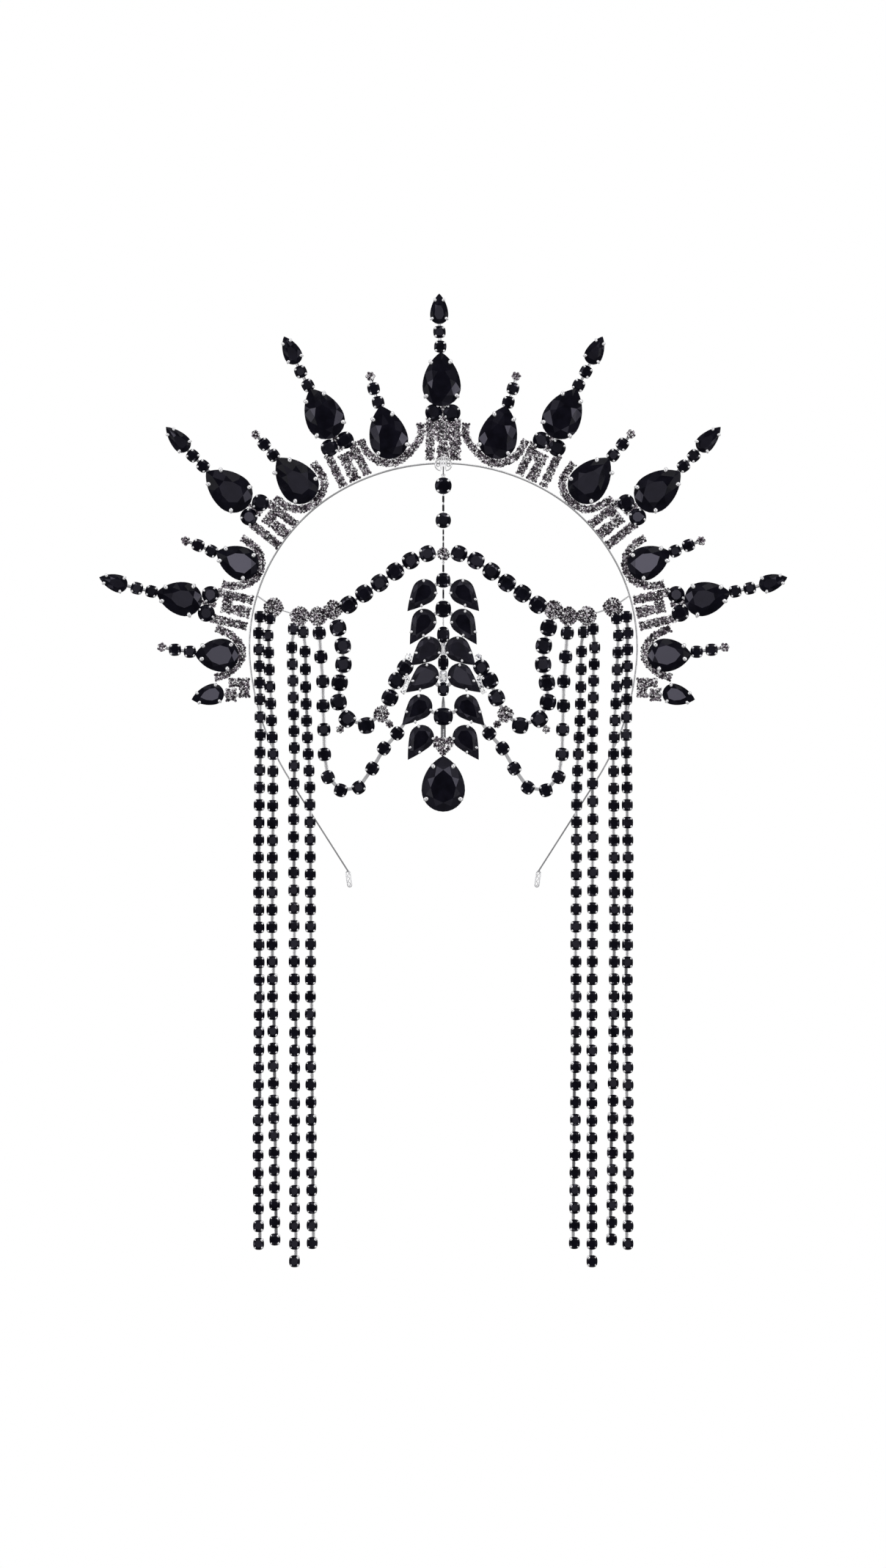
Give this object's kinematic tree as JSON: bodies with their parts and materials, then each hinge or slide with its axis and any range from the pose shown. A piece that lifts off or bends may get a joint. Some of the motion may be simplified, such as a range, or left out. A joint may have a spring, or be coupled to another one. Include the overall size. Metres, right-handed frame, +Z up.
{
  "type": "halo crown",
  "caption": "Jewelled halo crown: a sprung headband with a fan of black pear-stone rays above and a hanging veil of cup-set stone chains below.",
  "frame": {"origin": "inside of the headband at the top of the head, in the middle of the crown seen from the front, 1.5 mm behind the band's front edge", "axes": "+Z up, +X to the viewer's right as the crown is seen from the front, -Y towards the viewer"},
  "size_m": [0.2532, 0.0118, 0.3585],
  "materials": {
    "band_steel": "polished spring steel strip",
    "silver_setting": "bright silver plated brass cups, prongs and links",
    "jet_glass": "opaque jet black faceted glass, polished",
    "black_diamond_crystal": "small smoky grey crystals set close, polished",
    "clear_crystal": "clear faceted crystal with a foiled back"
  },
  "bodies": {
    "root": {"headband": "band_steel", "drape_hook": "silver_setting", "spire_top": "silver_setting", "spire_left_1": "silver_setting", "spire_left_2": "silver_setting", "spire_left_3": "silver_setting", "spire_right_1": "silver_setting", "spire_right_2": "silver_setting", "spire_right_3": "silver_setting", "spire_stone_top": "jet_glass", "spire_stone_left_1": "jet_glass", "spire_stone_left_2": "jet_glass", "spire_stone_left_3": "jet_glass", "spire_stone_right_1": "jet_glass", "spire_stone_right_2": "jet_glass", "spire_stone_right_3": "jet_glass", "spike_left_1": "silver_setting", "spike_left_2": "silver_setting", "spike_left_3": "silver_setting", "spike_left_4": "silver_setting", "spike_right_1": "silver_setting", "spike_right_2": "silver_setting", "spike_right_3": "silver_setting", "spike_right_4": "silver_setting", "spike_stone_left_1": "jet_glass", "spike_stone_left_2": "jet_glass", "spike_stone_left_3": "jet_glass", "spike_stone_left_4": "jet_glass", "spike_stone_right_1": "jet_glass", "spike_stone_right_2": "jet_glass", "spike_stone_right_3": "jet_glass", "spike_stone_right_4": "jet_glass", "end_leaf_left": "silver_setting", "end_leaf_right": "silver_setting", "end_leaf_stone_left": "jet_glass", "end_leaf_stone_right": "jet_glass", "tikka_chain": "silver_setting", "forehead_chain_left": "silver_setting", "forehead_chain_right": "silver_setting", "tree_frame": "silver_setting", "leaf_stones_1": "jet_glass", "leaf_stones_2": "jet_glass", "leaf_stones_3": "jet_glass", "leaf_stones_4": "jet_glass", "leaf_stones_5": "jet_glass", "leaf_stones_6": "jet_glass", "drop_setting": "silver_setting", "drop_stone": "jet_glass", "inner_swag_left": "silver_setting", "inner_swag_right": "silver_setting", "outer_swag_left": "silver_setting", "outer_swag_right": "silver_setting", "strand_left_1": "silver_setting", "strand_left_2": "silver_setting", "strand_left_3": "silver_setting", "strand_left_4": "silver_setting", "strand_right_1": "silver_setting", "strand_right_2": "silver_setting", "strand_right_3": "silver_setting", "strand_right_4": "silver_setting"}
  },
  "joints": []
}
